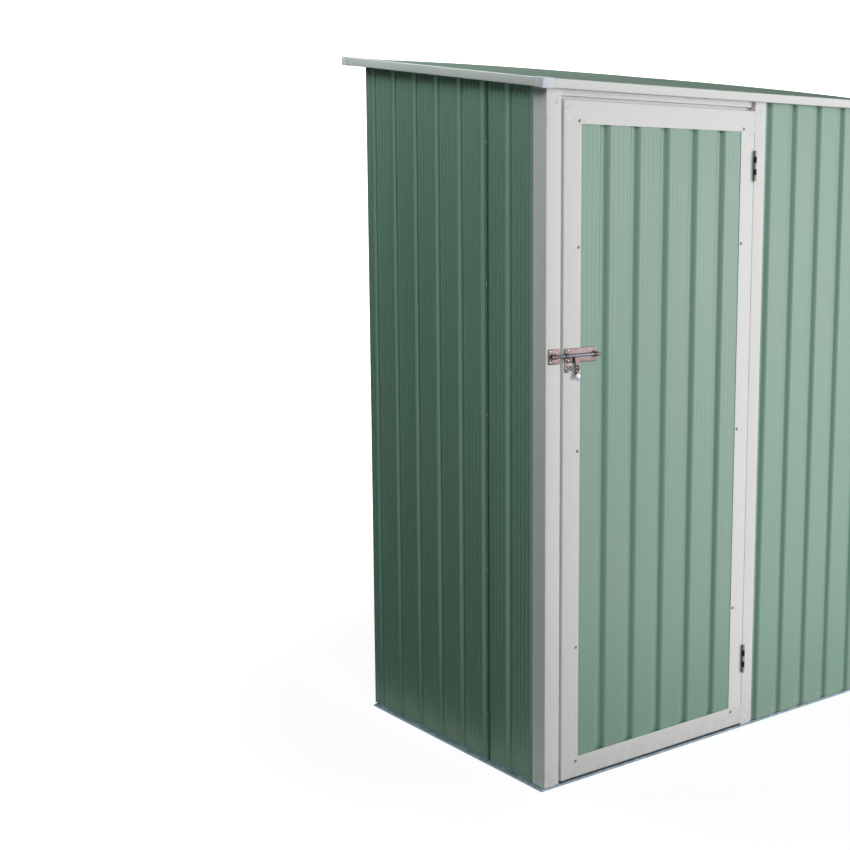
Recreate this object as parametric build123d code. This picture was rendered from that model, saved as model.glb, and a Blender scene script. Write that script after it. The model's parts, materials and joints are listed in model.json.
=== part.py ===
from build123d import *
import math
import os

# Metal tool shed with a pent roof, one hinged door and a slide bolt.
# Millimetres, +Z up, front of the shed towards -Y.
# The origin lies on the ground under the middle of the roof.

# Overall size
roof_width = 1430.0
roof_depth = 890.0
roof_front_height = 1713.0
roof_slope = 7.7
side_overhang = 12.0
front_overhang = 14.0
base_depth = 777.0

# Base rails, folded from galvanised strip
rail_thickness = 1.0
rail_lip = 6.0
rail_foot = 36.0
rail_upstand = 42.0
side_ledge = 11.0
front_ledge = 2.0

# Roll-formed sheets: wide fluted flats between narrow sunk grooves
sheet_thickness = 0.6
sheet_depth = 10.0
groove_pitch = 100.0
groove_width = 26.0
groove_bottom = 19.0
groove_clear = 2.0
flute_count = 4
flute_pitch = 15.5
flute_width = 5.0
flute_depth = 0.9
lap_lip = 3.0
side_groove = 36.0
side_lap_place = 536.0
back_groove = 41.0
roof_groove = 107.5
jamb_groove = 10.0
door_groove = 27.0

# Folded frame members
frame_thickness = 0.8
post_front_width = 46.2
post_side_width = 48.0
rear_post_width = 20.0
jamb_width = 41.0
stop_width = 20.0
header_face_setback = 1.0
header_height = 12.5
top_rail_leg = 34.0
top_rail_flange = 24.0
mid_rail_height = 921.0
mid_rail_width = 30.0
mid_rail_depth = 15.0
mid_rail_hem = 8.0
purlin_height = 36.0
purlin_width = 24.0

# Door
door_width = 654.0
door_bottom = 11.5
door_latch_gap = 6.8
door_hinge_gap = 2.0
door_top_gap = 9.0
door_depth = 13.0
door_stop_gap = 5.5
latch_stile_width = 55.0
hinge_stile_width = 49.5
top_rail_face = 54.5
bottom_rail_face = 54.0
jamb_sheet_lap = 22.0

# Roof trims and their corner caps
trim_face = 22.0
trim_top_lip = 12.0
trim_bottom_lip = 22.0
trim_thickness = 0.8
cap_wall = 1.2
cap_length = 32.0
cap_side_length = 26.0
cap_rim = 12.0

# Butt hinges in the gap beside the jamb
hinge_length = 80.0
hinge_upper_height = 1549.0
hinge_lower_height = 200.0
hinge_knuckles = 5
hinge_knuckle_gap = 0.4
hinge_barrel_radius = 3.4
hinge_pin_radius = 1.5
hinge_pin_clearance = 0.15
hinge_leaf_thickness = 0.85
hinge_leaf_depth = 10.0
hinge_barrel_standoff = 0.9

# Slide bolt, its keeper on the post and the two padlock ears
bolt_height = 1087.0
bolt_radius = 4.0
bolt_clearance = 0.6
bolt_standoff = 0.4
bolt_tip_gap = 3.0
bolt_tail = 11.0
bolt_plate_inset = 3.0
bolt_plate_length = 104.0
bolt_plate_height = 36.0
bolt_plate_corner = 3.0
bolt_plate_thickness = 1.2
strap_thickness = 1.2
strap_width = 9.0
strap_inset = 1.5
keeper_plate_length = 36.0
keeper_plate_height = 38.0
keeper_plate_inset = 3.0
keeper_loop_width = 12.0
keeper_loop_inset = 13.0
bolt_shot = 15.0
tongue_from_strap = 18.0
tongue_top_width = 20.0
tongue_width = 13.0
tongue_drop = 30.0
tongue_thickness = 2.0
tongue_setback = 3.0
ear_radius = 6.0
ear_hole_radius = 3.2
ear_thickness = 2.0
ear_reach = 2.8
ear_gap = 1.2
eye_plate_length = 14.0
eye_plate_height = 22.0
eye_plate_thickness = 1.2

# Fits
seat = 0.3
mitre_gap = 0.4
leaf_seat = 0.05
notch_clearance = 4.0

# Places worked out from the sizes above
base_width = roof_width - 2 * side_overhang
left = -base_width / 2
right = base_width / 2
front = -roof_depth / 2 + front_overhang
back = front + base_depth
wall_foot = rail_lip + seat
slope = math.radians(roof_slope)
cap_height = trim_face + 2 * cap_wall
roof_length = (roof_depth - cap_height * math.sin(slope)) / math.cos(slope)
roof_front_y = -roof_depth / 2 + cap_height * math.sin(slope)
tallest = roof_front_height + roof_depth * math.tan(slope) + cap_height

nested = sheet_thickness + seat
flat_depth = sheet_thickness + flute_depth
sheet_zone = sheet_depth + nested
frame_front = front + front_ledge
frame_left = left + side_ledge
frame_right = right - side_ledge
sheet_front = frame_front + frame_thickness + seat
sheet_left = frame_left + frame_thickness + seat
sheet_right = frame_right - frame_thickness - seat
sheet_back = back + sheet_zone + seat

post_right_edge = frame_left + post_front_width
door_left = post_right_edge + door_latch_gap
door_right = door_left + door_width
jamb_left = door_right + door_hinge_gap
jamb_right = jamb_left + jamb_width
door_top = roof_front_height - header_height - door_top_gap
door_front = front
door_back = door_front + door_depth
header_stop = door_back + door_stop_gap
stop_front = header_stop + frame_thickness + seat
stile_front = door_front + frame_thickness + seat
panel_front = stile_front + frame_thickness + seat
header_bottom = door_top + door_top_gap
header_front = frame_front + header_face_setback

wall_top_level = cap_wall - seat
sheet_top_level = cap_wall + trim_face - trim_thickness - seat
support_level = sheet_top_level - sheet_zone - seat
side_sheet_end = sheet_back - nested - flat_depth - seat
side_inner = sheet_left + sheet_zone + seat
front_inner = sheet_front + sheet_depth + seat
hinge_x = (door_right + jamb_left) / 2
hinge_y = door_front - hinge_barrel_standoff - hinge_barrel_radius


def folded_strip(path, thickness):
    # A strip of even thickness on the left of a path, mitred at each fold.
    count = len(path)
    directions = []
    for start, end in zip(path, path[1:]):
        run = math.hypot(end[0] - start[0], end[1] - start[1])
        directions.append(((end[0] - start[0]) / run, (end[1] - start[1]) / run))
    inner = []
    for i in range(count):
        before = directions[max(i - 1, 0)]
        after = directions[min(i, count - 2)]
        normal = (-before[1] - after[1], before[0] + after[0])
        along = normal[0] * -after[1] + normal[1] * after[0]
        inner.append((
            path[i][0] + normal[0] * thickness / along,
            path[i][1] + normal[1] * thickness / along,
        ))
    return make_face(Polyline(*path, *reversed(inner), close=True))


def upright(section, bottom, top):
    return extrude(Pos(0, 0, bottom) * section, amount=top - bottom, dir=(0, 0, 1))


def along_x(section, start, end):
    return extrude(Pos(start, 0, 0) * (Plane.YZ * section), amount=end - start, dir=(1, 0, 0))


def along_y(section, start, end):
    return extrude(Pos(0, start, 0) * (Plane.XZ * section), amount=end - start, dir=(0, 1, 0))


def mirrored(shape):
    return mirror(shape, about=Plane.YZ)


def slope_run(y, level):
    # Distance up the roof from its front edge to a place y, at a level square to the roof.
    return (y - roof_front_y + level * math.sin(slope)) / math.cos(slope)


def on_roof(shape):
    # The roof is drawn flat, its front edge on Y = 0, then tilted up to the back.
    return Pos(0, roof_front_y, roof_front_height) * Rot(roof_slope, 0, 0) * shape


def below_roof(shape, level):
    # Cuts off what stands above a level measured square to the roof.
    spare = roof_depth
    cutter = Pos(0, roof_length / 2, level + spare / 2) * Box(
        roof_width + spare, roof_length + spare, spare
    )
    return shape - on_roof(cutter)


def ribbed_section(width, first_groove):
    # Cross-section of a sheet: X across the sheet, outer face on Y = 0, body towards +Y.
    floor_depth = sheet_depth - sheet_thickness
    points = [(0.0, 0.0)]

    def add_bend(bend, start, end):
        if start > groove_clear and end < width - groove_clear:
            points.extend(bend)

    groove = first_groove - groove_pitch
    while groove - groove_pitch < width:
        start = groove - groove_width / 2
        end = groove + groove_width / 2
        add_bend([
            (start, 0.0),
            (groove - groove_bottom / 2, floor_depth),
            (groove + groove_bottom / 2, floor_depth),
            (end, 0.0),
        ], start, end)
        for flute in range(flute_count):
            centre = groove + groove_pitch / 2 + (flute - (flute_count - 1) / 2) * flute_pitch
            start = centre - flute_width / 2
            end = centre + flute_width / 2
            add_bend([(start, 0.0), (centre, flute_depth), (end, 0.0)], start, end)
        groove += groove_pitch
    points.append((width, 0.0))
    inner = [(x, y + sheet_thickness) for x, y in points]
    return make_face(Polyline(*points, *reversed(inner), close=True))


def lapped_pair(width, first_groove, lap_place):
    # Two sheets of one pattern that lap over the groove nearest to a place across the pair.
    groove = first_groove + round((lap_place - first_groove) / groove_pitch) * groove_pitch
    start = groove - groove_width / 2 - lap_lip
    end = groove + groove_width / 2 + lap_lip
    outer = ribbed_section(end, first_groove)
    under = ribbed_section(width - start, groove - start)
    return outer, under, start


def front_facing(section, x, y):
    return Pos(x, y, 0) * section


def left_facing(section, x, y):
    return Pos(x, y, 0) * Rot(0, 0, -90) * section


def back_facing(section, x, y):
    return Pos(x, y, 0) * Rot(0, 0, 180) * section


# Base rails, mitred at the corners
def rail_section(ledge_depth):
    # The back rail has no ledge: its outer face is the upstand that the sheets hang over.
    ledge = [(0, rail_lip), (ledge_depth, rail_lip)] if ledge_depth > 0 else []
    path = [(rail_foot, 0), (0, 0), *ledge, (ledge_depth, rail_upstand)]
    return folded_strip(list(reversed(path)), rail_thickness)


def rail_footprint(length):
    half = length / 2
    inset = mitre_gap / 2
    return make_face(Polyline(
        (-half + inset, 0), (half - inset, 0),
        (half - inset - rail_foot, rail_foot), (-half + inset + rail_foot, rail_foot), close=True,
    ))


def base_rail(length, ledge_depth, left_notch, right_notch):
    # Drawn along X with its outer lip on Y = 0; the upstand stops short at each notch.
    body = along_x(rail_section(ledge_depth), -length / 2, length / 2)
    body = body & upright(rail_footprint(length), 0, rail_upstand)
    for start, end in ((-length / 2, left_notch - length / 2), (length / 2 - right_notch, length / 2)):
        cutter = Box(end - start, 2 * rail_foot, rail_upstand)
        body -= Pos((start + end) / 2, rail_foot, rail_lip + rail_upstand / 2) * cutter
    return body


def base_rails():
    front_upstand = front_ledge + front_inner - frame_front
    side_upstand = side_inner - left
    side_notch = rail_foot
    post_notch = side_inner - left + rear_post_width
    door_notch = jamb_right + notch_clearance - left
    right_notch = right - sheet_right + post_front_width
    middle_y = (front + back) / 2
    side_rail = base_rail(base_depth, side_upstand, side_notch, side_notch)
    return {
        "base_rail_front": Pos(0, front, 0)
        * base_rail(base_width, front_upstand, door_notch, right_notch),
        "base_rail_back": Pos(0, back, 0) * Rot(0, 0, 180)
        * base_rail(base_width, 0, post_notch, post_notch),
        "base_rail_left": Pos(left, middle_y, 0) * Rot(0, 0, -90) * side_rail,
        "base_rail_right": Pos(right, middle_y, 0) * Rot(0, 0, 90) * side_rail,
    }


# Posts, jamb and header round the door
def corner_posts():
    door_post = folded_strip([
        (frame_left, frame_front + post_side_width),
        (frame_left, frame_front),
        (post_right_edge, frame_front),
        (post_right_edge, stop_front),
        (post_right_edge + stop_width, stop_front),
    ], frame_thickness)
    plain_post = folded_strip([
        (frame_right - post_front_width, frame_front),
        (frame_right, frame_front),
        (frame_right, frame_front + post_side_width),
    ], frame_thickness)
    inner_left = sheet_left + flat_depth + seat
    inner_back = sheet_back - nested - flat_depth - seat
    rear_post = folded_strip([
        (inner_left + rear_post_width, inner_back),
        (inner_left, inner_back),
        (inner_left, inner_back - rear_post_width),
    ], frame_thickness)
    rear_left = below_roof(upright(rear_post, wall_foot, tallest), wall_top_level)
    return {
        "corner_post_front_left": below_roof(
            upright(door_post, wall_foot, tallest), wall_top_level),
        "corner_post_front_right": below_roof(
            upright(plain_post, wall_foot, tallest), wall_top_level),
        "corner_post_rear_left": rear_left,
        "corner_post_rear_right": mirrored(rear_left),
    }


def door_frame():
    jamb = folded_strip([
        (jamb_left, stop_front),
        (jamb_left, frame_front),
        (jamb_right, frame_front),
    ], frame_thickness)
    header = folded_strip([
        (header_stop, header_bottom - stop_width),
        (header_stop, header_bottom),
        (header_front, header_bottom),
        (header_front, tallest),
    ][::-1], frame_thickness)
    header_bar = along_x(
        header, post_right_edge + seat, jamb_left - seat
    )
    return {
        "door_jamb": below_roof(upright(jamb, wall_foot, tallest), wall_top_level),
        "door_header": below_roof(header_bar, wall_top_level),
    }


# Wall sheets
def wall_sheets():
    side_run = side_sheet_end - (sheet_front + sheet_depth)
    outer, under, start = lapped_pair(side_run, side_groove, side_lap_place)
    left_rear = upright(left_facing(outer, sheet_left, side_sheet_end), wall_foot, tallest)
    left_near = upright(
        left_facing(under, sheet_left + nested, side_sheet_end - start), wall_foot, tallest)
    walls = {
        "left_wall_sheet_rear": below_roof(left_rear, support_level),
        "left_wall_sheet_front": below_roof(left_near, support_level),
    }
    walls["right_wall_sheet_rear"] = mirrored(walls["left_wall_sheet_rear"])
    walls["right_wall_sheet_front"] = mirrored(walls["left_wall_sheet_front"])

    front_start = jamb_right - jamb_sheet_lap
    front_width = frame_right - frame_thickness - seat - front_start
    front_sheet = ribbed_section(front_width, jamb_sheet_lap + jamb_groove)
    walls["front_wall_sheet"] = below_roof(
        upright(front_facing(front_sheet, front_start, sheet_front), wall_foot, tallest),
        wall_top_level)

    back_width = sheet_right - sheet_left
    outer, under, start = lapped_pair(back_width, back_groove, back_width / 2)
    back_right = upright(back_facing(outer, sheet_right, sheet_back), wall_foot, tallest)
    back_left = upright(
        back_facing(under, sheet_right - start, sheet_back - nested), wall_foot, tallest)
    walls["back_wall_sheet_right"] = below_roof(back_right, support_level)
    walls["back_wall_sheet_left"] = below_roof(back_left, support_level)
    return walls


# Rails inside the walls
def inner_rails():
    rails = {}
    run_start = frame_front + post_side_width + seat
    leg_foot = support_level - top_rail_leg
    side_leg = folded_strip([
        (side_inner + top_rail_flange, support_level),
        (side_inner, support_level), (side_inner, leg_foot),
    ], frame_thickness)
    start_s = slope_run(run_start, support_level)
    end_s = slope_run(back, leg_foot) - seat
    rails["top_rail_left"] = on_roof(along_y(side_leg, start_s, end_s))
    rails["top_rail_right"] = mirrored(rails["top_rail_left"])

    span = side_inner + top_rail_flange + seat
    front_s = slope_run(stop_front + frame_thickness + seat, support_level)
    front_bar = folded_strip([
        (front_s + top_rail_flange, support_level),
        (front_s, support_level), (front_s, leg_foot),
    ], frame_thickness)
    rails["top_rail_front"] = on_roof(along_x(front_bar, span, -span))
    back_s = slope_run(back, leg_foot)
    back_bar = folded_strip([
        (back_s, leg_foot), (back_s, support_level),
        (back_s - top_rail_flange, support_level),
    ], frame_thickness)
    rails["top_rail_back"] = on_roof(along_x(back_bar, span, -span))

    middle_s = (front_s + back_s) / 2
    purlin_foot = support_level - purlin_height
    purlin = folded_strip([
        (middle_s + purlin_width, support_level), (middle_s, support_level),
        (middle_s, purlin_foot), (middle_s + purlin_width, purlin_foot),
    ], frame_thickness)
    rails["roof_purlin"] = on_roof(along_x(purlin, span, -span))

    side_mid = mid_rail_section(side_inner, 1)
    rails["mid_rail_left"] = along_y(side_mid, run_start, back - mid_rail_depth - seat)
    rails["mid_rail_right"] = mirrored(rails["mid_rail_left"])
    rails["mid_rail_back"] = along_x(mid_rail_section(back, -1), side_inner, -side_inner)
    rails["mid_rail_front"] = along_x(
        mid_rail_section(front_inner, 1), jamb_left + frame_thickness + seat, -side_inner)
    return rails


def mid_rail_section(wall_line, inward):
    # A channel with its web on the wall line and its two lipped flanges pointing inward.
    top = mid_rail_height + mid_rail_width / 2
    foot = mid_rail_height - mid_rail_width / 2
    edge = wall_line + inward * mid_rail_depth
    path = [
        (edge, top - mid_rail_hem), (edge, top), (wall_line, top),
        (wall_line, foot), (edge, foot), (edge, foot + mid_rail_hem),
    ]
    if inward < 0:
        path.reverse()
    return folded_strip(path, frame_thickness)


# Roof sheets, edge trims and corner caps, drawn flat and tilted together
def roof_sheets():
    edge = cap_wall + trim_thickness + seat
    span = roof_width / 2 - edge
    outer, under, start = lapped_pair(2 * span, roof_groove, span)
    left_half = Pos(-span, sheet_top_level) * mirror(outer, about=Plane.XZ)
    right_half = Pos(start - span, sheet_top_level - nested) * mirror(under, about=Plane.XZ)
    return {
        "roof_sheet_left": on_roof(along_y(left_half, edge, roof_length - edge)),
        "roof_sheet_right": on_roof(along_y(right_half, edge, roof_length - edge)),
    }


def roof_trims():
    top = cap_wall + trim_face
    section = folded_strip([
        (trim_top_lip, top), (0, top), (0, cap_wall), (trim_bottom_lip, cap_wall),
    ], trim_thickness)
    half_width = roof_width / 2 - cap_wall
    side_start = cap_wall + trim_bottom_lip + seat
    front_trim = Pos(0, cap_wall, 0) * along_x(section, -half_width, half_width)
    back_trim = Pos(0, roof_length, 0) * Rot(0, 0, 180) * front_trim
    side_trim = Pos(-half_width, 0, 0) * along_y(section, side_start, roof_length - side_start)
    return {
        "roof_trim_front": on_roof(front_trim),
        "roof_trim_back": on_roof(back_trim),
        "roof_trim_left": on_roof(side_trim),
        "roof_trim_right": on_roof(mirrored(side_trim)),
    }


def corner_caps():
    # Open towards the roof, with a rim below that grips the two trims.
    outer = Box(cap_length, cap_side_length, cap_height, align=Align.MIN)
    hollow = Pos(cap_wall, cap_wall, cap_wall) * Box(
        cap_length, cap_side_length, cap_height - 2 * cap_wall, align=Align.MIN)
    below = Pos(cap_rim, cap_rim, 0) * Box(
        cap_length, cap_side_length, cap_height / 2, align=Align.MIN)
    shell = fillet(outer.edges().filter_by(Axis.Z).sort_by(Axis.X)[0:1], cap_wall) - hollow - below
    front_left = Pos(-roof_width / 2, 0, 0) * shell
    rear_left = Pos(0, roof_length, 0) * mirror(front_left, about=Plane.XZ)
    left_pair = [on_roof(front_left), on_roof(rear_left)]
    return {"roof_corner_caps": Compound(left_pair + [mirrored(cap) for cap in left_pair])}


# Door leaf: folded stiles and rails round a ribbed panel
def door():
    inset = frame_thickness + seat
    latch_stile = folded_strip([
        (door_left, door_back), (door_left, stile_front),
        (door_left + latch_stile_width, stile_front),
    ], frame_thickness)
    hinge_stile = folded_strip([
        (door_right - hinge_stile_width, stile_front), (door_right, stile_front),
        (door_right, door_back),
    ], frame_thickness)
    top_rail = folded_strip([
        (door_back, door_top), (door_front, door_top), (door_front, door_top - top_rail_face),
    ], frame_thickness)
    bottom_rail = folded_strip([
        (door_front, door_bottom + bottom_rail_face), (door_front, door_bottom),
        (door_back, door_bottom),
    ], frame_thickness)
    panel = ribbed_section(door_width - 2 * inset, door_groove)
    low = door_bottom + inset
    high = door_top - inset
    return {
        "door_latch_stile": upright(latch_stile, low, high),
        "door_hinge_stile": upright(hinge_stile, low, high),
        "door_top_rail": along_x(top_rail, door_left, door_right),
        "door_bottom_rail": along_x(bottom_rail, door_left, door_right),
        "door_panel": upright(front_facing(panel, door_left + inset, panel_front), low, high),
    }


# Butt hinges: the frame leaf carries the pin, the door leaf turns on it
def hinge_leaf(height, leaf_start, first_knuckle, bore_radius):
    step = hinge_length / hinge_knuckles
    leaf_inner = frame_front + hinge_leaf_depth
    leaf_outer = hinge_y + hinge_barrel_radius + hinge_knuckle_gap
    foot = height - hinge_length / 2
    leaf = Pos(leaf_start, leaf_outer, foot) * Box(
        hinge_leaf_thickness, leaf_inner - leaf_outer, hinge_length, align=Align.MIN)
    for knuckle in range(first_knuckle, hinge_knuckles, 2):
        bottom = foot + knuckle * step + hinge_knuckle_gap / 2
        size = step - hinge_knuckle_gap
        tab = Pos(leaf_start, hinge_y, bottom) * Box(
            hinge_leaf_thickness, leaf_outer - hinge_y, size, align=Align.MIN)
        barrel = Pos(hinge_x, hinge_y, bottom) * Cylinder(
            hinge_barrel_radius, size, align=(Align.CENTER, Align.CENTER, Align.MIN))
        leaf += tab + barrel
    if bore_radius > 0:
        leaf -= Pos(hinge_x, hinge_y, height) * Cylinder(bore_radius, 2 * hinge_length)
    return leaf


def hinges():
    pieces = {}
    for place, height in (("upper", hinge_upper_height), ("lower", hinge_lower_height)):
        frame_start = jamb_left - leaf_seat - hinge_leaf_thickness
        frame_leaf = hinge_leaf(height, frame_start, 0, 0)
        frame_leaf += Pos(hinge_x, hinge_y, height) * Cylinder(hinge_pin_radius, hinge_length)
        door_leaf = hinge_leaf(
            height, door_right + leaf_seat, 1, hinge_pin_radius + hinge_pin_clearance)
        pieces[f"hinge_frame_leaf_{place}"] = frame_leaf
        pieces[f"hinge_door_leaf_{place}"] = door_leaf
    return pieces


# Slide bolt
bolt_plate_front = stile_front - bolt_plate_thickness
bolt_y = bolt_plate_front - bolt_standoff - bolt_radius
bolt_plate_left = door_left + bolt_plate_inset
strap_left = bolt_plate_left + strap_inset
keeper_plate_right = post_right_edge - keeper_plate_inset
keeper_loop_right = keeper_plate_right - keeper_loop_inset
tongue_left = strap_left + strap_width + tongue_from_strap
tongue_centre = tongue_left + tongue_top_width / 2
ear_height = bolt_height - tongue_drop
tongue_ear_left = tongue_centre - tongue_width / 2
fixed_ear_right = tongue_ear_left - bolt_shot - ear_gap


def flat_plate(start_x, middle_z, length, height, back_y, thickness):
    outline = RectangleRounded(length, height, bolt_plate_corner)
    centre = Pos(start_x + length / 2, back_y, middle_z)
    return centre * extrude(Plane.XZ * outline, amount=thickness, dir=(0, -1, 0))


def strap(start_x, width, plate_front):
    # An arch over the bolt, standing on its plate.
    inner = bolt_radius + bolt_clearance
    outer = inner + strap_thickness
    depth = plate_front - bolt_y
    section = Pos(bolt_y, 0) * Circle(outer)
    section += Pos(bolt_y + depth / 2, 0) * Rectangle(depth, 2 * outer)
    section -= Pos(bolt_y, 0) * Circle(inner)
    section -= Pos(bolt_y + depth / 2, 0) * Rectangle(depth, 2 * inner)
    section &= Pos(plate_front - outer * 2, 0) * Rectangle(outer * 4, outer * 4)
    return Pos(0, 0, bolt_height) * along_x(section, start_x, start_x + width)


def ear(start_x, back_y):
    # A round lug square to the door with a padlock hole, on a foot that runs back.
    centre_y = bolt_y - ear_reach
    section = Pos(centre_y, 0) * Circle(ear_radius)
    section += Pos((centre_y + back_y) / 2, 0) * Rectangle(back_y - centre_y, 2 * ear_radius)
    section -= Pos(centre_y, 0) * Circle(ear_hole_radius)
    return Pos(0, 0, ear_height) * along_x(section, start_x, start_x + ear_thickness)


def slide_bolt():
    plate = flat_plate(
        bolt_plate_left, bolt_height, bolt_plate_length, bolt_plate_height,
        stile_front, bolt_plate_thickness)
    strap_right = bolt_plate_left + bolt_plate_length - strap_inset - strap_width
    plate += strap(strap_left, strap_width, bolt_plate_front)
    plate += strap(strap_right, strap_width, bolt_plate_front)

    keeper_front = frame_front - bolt_plate_thickness
    keeper = flat_plate(
        keeper_plate_right - keeper_plate_length, bolt_height, keeper_plate_length,
        keeper_plate_height, frame_front, bolt_plate_thickness)
    keeper += strap(keeper_loop_right - keeper_loop_width, keeper_loop_width, keeper_front)

    tip = keeper_loop_right + bolt_tip_gap
    tail = bolt_plate_left + bolt_plate_length + bolt_tail
    bar = extrude(
        Pos(tip, bolt_y, bolt_height) * (Plane.YZ * Circle(bolt_radius)),
        amount=tail - tip, dir=(1, 0, 0))
    shoulder = bolt_radius + bolt_clearance + strap_thickness
    tongue_outline = make_face(Polyline(
        (tongue_left, 0), (tongue_left + tongue_top_width, 0),
        (tongue_left + tongue_top_width, -shoulder),
        (tongue_centre + tongue_width / 2, -tongue_drop / 2),
        (tongue_centre + tongue_width / 2, -tongue_drop - ear_radius),
        (tongue_centre - tongue_width / 2, -tongue_drop - ear_radius),
        (tongue_centre - tongue_width / 2, -tongue_drop / 2),
        (tongue_left, -shoulder), close=True))
    tongue_back = bolt_y + tongue_setback
    bar += Pos(0, tongue_back, bolt_height) * extrude(
        Plane.XZ * tongue_outline, amount=tongue_thickness, dir=(0, -1, 0))
    bar += ear(tongue_ear_left, tongue_back)

    fixed_ear = ear(fixed_ear_right - ear_thickness, stile_front)
    eye = flat_plate(
        fixed_ear_right - eye_plate_length, ear_height, eye_plate_length, eye_plate_height,
        stile_front, eye_plate_thickness)
    return {
        "bolt_plate": plate,
        "bolt_keeper": keeper,
        "sliding_bolt": bar,
        "padlock_eye": eye + fixed_ear,
    }


parts = {}
parts.update(base_rails())
parts.update(corner_posts())
parts.update(door_frame())
parts.update(wall_sheets())
parts.update(inner_rails())
parts.update(roof_sheets())
parts.update(roof_trims())
parts.update(corner_caps())
parts.update(door())
parts.update(hinges())
parts.update(slide_bolt())

if __name__ == "__main__":
    os.makedirs("parts", exist_ok=True)
    for name, solid in parts.items():
        export_step(solid, f"parts/{name}.step")
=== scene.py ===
import json
import math
import bpy
import numpy as np
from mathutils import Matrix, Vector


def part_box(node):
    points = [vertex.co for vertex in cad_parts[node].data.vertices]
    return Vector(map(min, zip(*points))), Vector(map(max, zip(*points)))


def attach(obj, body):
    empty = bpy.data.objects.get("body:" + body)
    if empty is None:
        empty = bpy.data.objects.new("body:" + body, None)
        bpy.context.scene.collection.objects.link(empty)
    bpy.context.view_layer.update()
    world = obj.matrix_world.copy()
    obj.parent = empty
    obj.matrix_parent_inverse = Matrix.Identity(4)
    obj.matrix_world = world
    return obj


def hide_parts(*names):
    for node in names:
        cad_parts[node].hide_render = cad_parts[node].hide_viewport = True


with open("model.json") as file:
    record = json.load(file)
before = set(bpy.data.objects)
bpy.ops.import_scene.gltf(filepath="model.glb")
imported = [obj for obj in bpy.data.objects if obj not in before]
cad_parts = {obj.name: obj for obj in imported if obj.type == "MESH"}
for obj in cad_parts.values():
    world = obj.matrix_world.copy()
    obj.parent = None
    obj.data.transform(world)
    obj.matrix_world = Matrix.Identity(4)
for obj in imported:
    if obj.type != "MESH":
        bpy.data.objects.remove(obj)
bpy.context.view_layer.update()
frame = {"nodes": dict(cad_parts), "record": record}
mm = 0.001

# places shared by every piece, in millimetres
shed = dict(
    wallFoot=6.3, frontHeight=1713.0, slope=7.7, frontY=-441.7308, roofLength=894.787,
    front=-431.0, frameFront=-429.0, frameLeft=-692.0,
    postRight=-645.8, doorLeft=-639.0, doorRight=15.0, jambLeft=17.0, jambRight=58.0,
    doorBottom=11.5, doorTop=1691.5, doorBack=-418.0, stileFront=-429.9,
    stopFront=-411.4, headerStop=-412.5, headerFront=-428.0, headerFace=-421.0, headerBottom=1700.5,
)
tilt = math.radians(shed["slope"])


# lines, grids and closed skins that every piece is made from. A bend takes at most this share of the line beside
# it, and a line's two free ends count as this much of a fold
bendShare, endFold = 0.7, 0.6


def roundedLine(corners, radii, steps=4):
    # each corner gives way to a curve from a point a radius before it to a point a radius after it:
    # (1-t)^2 start + 2t(1-t) corner + t^2 end, worked out for all corners at once
    corners = np.asarray(corners, float)
    radii = np.broadcast_to(np.asarray(radii, float), (len(corners) - 2,))
    before = corners[:-2] - corners[1:-1]
    after = corners[2:] - corners[1:-1]
    lenBefore = np.linalg.norm(before, axis=1)
    lenAfter = np.linalg.norm(after, axis=1)
    start = corners[1:-1] + before * np.minimum(radii / lenBefore, bendShare)[:, None]
    end = corners[1:-1] + after * np.minimum(radii / lenAfter, bendShare)[:, None]
    t = np.linspace(0, 1, steps)[None, :, None]
    arcs = (1 - t) ** 2 * start[:, None] + 2 * t * (1 - t) * corners[1:-1, None] + t ** 2 * end[:, None]
    line = np.vstack([corners[:1], arcs.reshape(-1, 2), corners[-1:]])
    bend = np.sin(np.linspace(0.25, np.pi - 0.25, steps))
    fold = np.concatenate([[endFold], np.tile(bend, len(arcs)), [endFold]])
    return line, fold


def offsetLine(line, thickness):
    # every point moves left by the thickness, along the mean of its two neighbours' normals
    step = np.diff(line, axis=0)
    step /= np.linalg.norm(step, axis=1)[:, None]
    normal = np.stack([-step[:, 1], step[:, 0]], axis=1)
    before = np.vstack([normal[:1], normal])
    after = np.vstack([normal, normal[-1:]])
    mean = before + after
    mean /= np.linalg.norm(mean, axis=1)[:, None]
    return line + thickness * mean / np.sum(mean * before, axis=1)[:, None]


def gridFaces(rows, columns, wrap=False, wrapRows=False):
    # quads between neighbouring points of a rows by columns grid, which may close on itself either way
    down, across = np.arange(rows if wrapRows else rows - 1), np.arange(columns if wrap else columns - 1)
    i, j = np.meshgrid(down, across, indexing="ij")
    k, n = (j + 1) % columns, (i + 1) % rows
    return np.stack([i * columns + j, i * columns + k, n * columns + k, n * columns + j], -1).reshape(-1, 4)


def signedVolume(points, quads):
    # a sixth of the sum of a.(b x c) over each quad's two triangles
    a, b, c, d = (points[quads[:, n]] for n in range(4))
    return np.einsum("ij,ij->", a, np.cross(b, c)) + np.einsum("ij,ij->", a, np.cross(c, d))


def fullTurn(count):
    # equal steps round a circle, the last one short of the start
    return np.linspace(0, 2 * np.pi, count, endpoint=False)


def addObject(name, data):
    # an object in the scene that holds a mesh, a lamp or a camera
    holder = bpy.data.objects.new(name, data)
    bpy.context.scene.collection.objects.link(holder)
    return holder


def finishPiece(name, points, faces, fold, body, material, nodes, sharp):
    # one piece's mesh, from points in millimetres; fold says how near each point is to a fold or a cut edge, 0 to 1
    mesh = bpy.data.meshes.new(name)
    mesh.from_pydata((points * mm).tolist(), [], faces)
    mesh.attributes.new("fold", "FLOAT", "POINT").data.foreach_set("value", np.asarray(fold, np.float32))
    mesh.polygons.foreach_set("use_smooth", np.ones(len(mesh.polygons), bool))
    mesh.set_sharp_from_angle(angle=math.radians(sharp))
    mesh.validate()
    mesh.materials.append(material)
    piece = addObject(name, mesh)
    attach(piece, body)
    if nodes:
        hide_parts(*nodes)


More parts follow.
